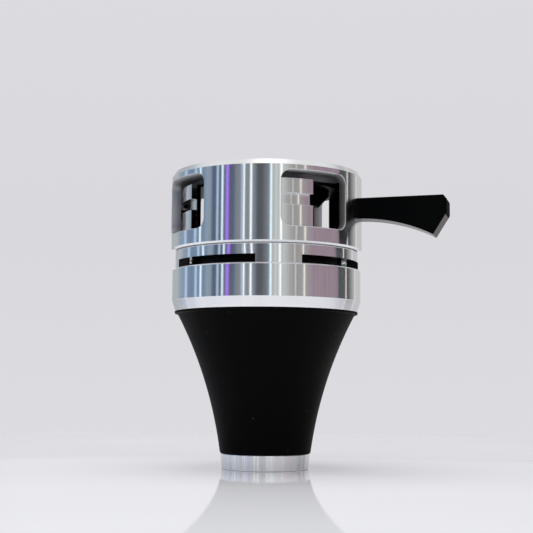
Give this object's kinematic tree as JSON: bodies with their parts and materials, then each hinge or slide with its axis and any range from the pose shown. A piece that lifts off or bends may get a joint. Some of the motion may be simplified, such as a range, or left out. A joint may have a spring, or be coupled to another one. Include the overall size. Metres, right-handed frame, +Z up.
{
  "type": "hand glass grinder",
  "caption": "Hand-turned glass grinder: a windowed aluminium head with a black lever turns on a slotted drum above a flared rubber grip and an open foot ring.",
  "frame": {"origin": "centre of the foot ring's lower face", "axes": "+Z up along the axis of the grinder, +X along the handle at rest"},
  "size_m": [0.1157, 0.08, 0.1215],
  "materials": {
    "turned_aluminium": "turned, fine rings, bright chamfers",
    "grip_rubber": "matte, soft touch",
    "handle_black": "glossy moulded black",
    "black_nylon": "satin glass-filled nylon",
    "white_nylon": "low-friction plastic",
    "screw_steel": "machined steel",
    "shaft_steel": "ground steel",
    "burr_steel": "hardened steel",
    "bearing_steel": "polished bearing steel",
    "spring_steel": "drawn wire",
    "bronze": "machined bronze"
  },
  "bodies": {
    "base": {"drum": "turned_aluminium", "collar": "turned_aluminium", "rubber_grip": "grip_rubber", "foot_ring": "turned_aluminium", "hopper": "black_nylon", "funnel_liner": "black_nylon", "funnel_screws": "screw_steel", "drum_screws": "screw_steel", "outer_burr": "burr_steel", "burr_screws": "screw_steel", "bearing_spider": "turned_aluminium", "spider_screws": "screw_steel", "bearing_outer_race": "bearing_steel", "glide_ring": "white_nylon"},
    "head": {"turning_shell": "turned_aluminium", "cover_plate": "turned_aluminium", "cover_screws": "screw_steel", "handle_grip": "handle_black", "handle_stud": "screw_steel", "retaining_screws": "screw_steel", "drive_shaft": "shaft_steel", "shaft_screw": "screw_steel", "shaft_washer": "shaft_steel", "sweeper": "black_nylon", "sweeper_pin": "shaft_steel", "bearing_inner_race": "bearing_steel", "retaining_clip": "screw_steel", "burr_drive_pin": "shaft_steel", "burr_spring": "spring_steel"},
    "burr": {"inner_burr": "burr_steel", "thrust_washer": "bronze"},
    "adjuster": {"adjusting_nut": "bronze"},
    "ball_set": {"bearing_cage": "bronze", "bearing_balls": "bearing_steel"}
  },
  "joints": [
    {"name": "head_turn", "type": "hinge", "parent": "base", "child": "head", "pos_m": [0, 0, 0.1067], "axis": [0, 0, 1], "continuous": true},
    {"name": "ball_set_turn", "type": "hinge", "parent": "base", "child": "ball_set", "pos_m": [0, 0, 0.0565], "axis": [0, 0, 1], "continuous": true},
    {"name": "burr_lift", "type": "slide", "parent": "head", "child": "burr", "axis": [0, 0, 1], "range_m": [-0.00072, 0], "deforming": ["burr_spring"]},
    {"name": "nut_turn", "type": "hinge", "parent": "burr", "child": "adjuster", "pos_m": [0, 0, 0.0635], "axis": [0, 0, 1], "range_deg": [-330, 0]}
  ],
  "couplings": [
    {"joint": "ball_set_turn", "follows": "head_turn", "ratio": 0.368},
    {"joint": "burr_lift", "follows": "nut_turn", "m_per_rad": 0.00011937}
  ]
}
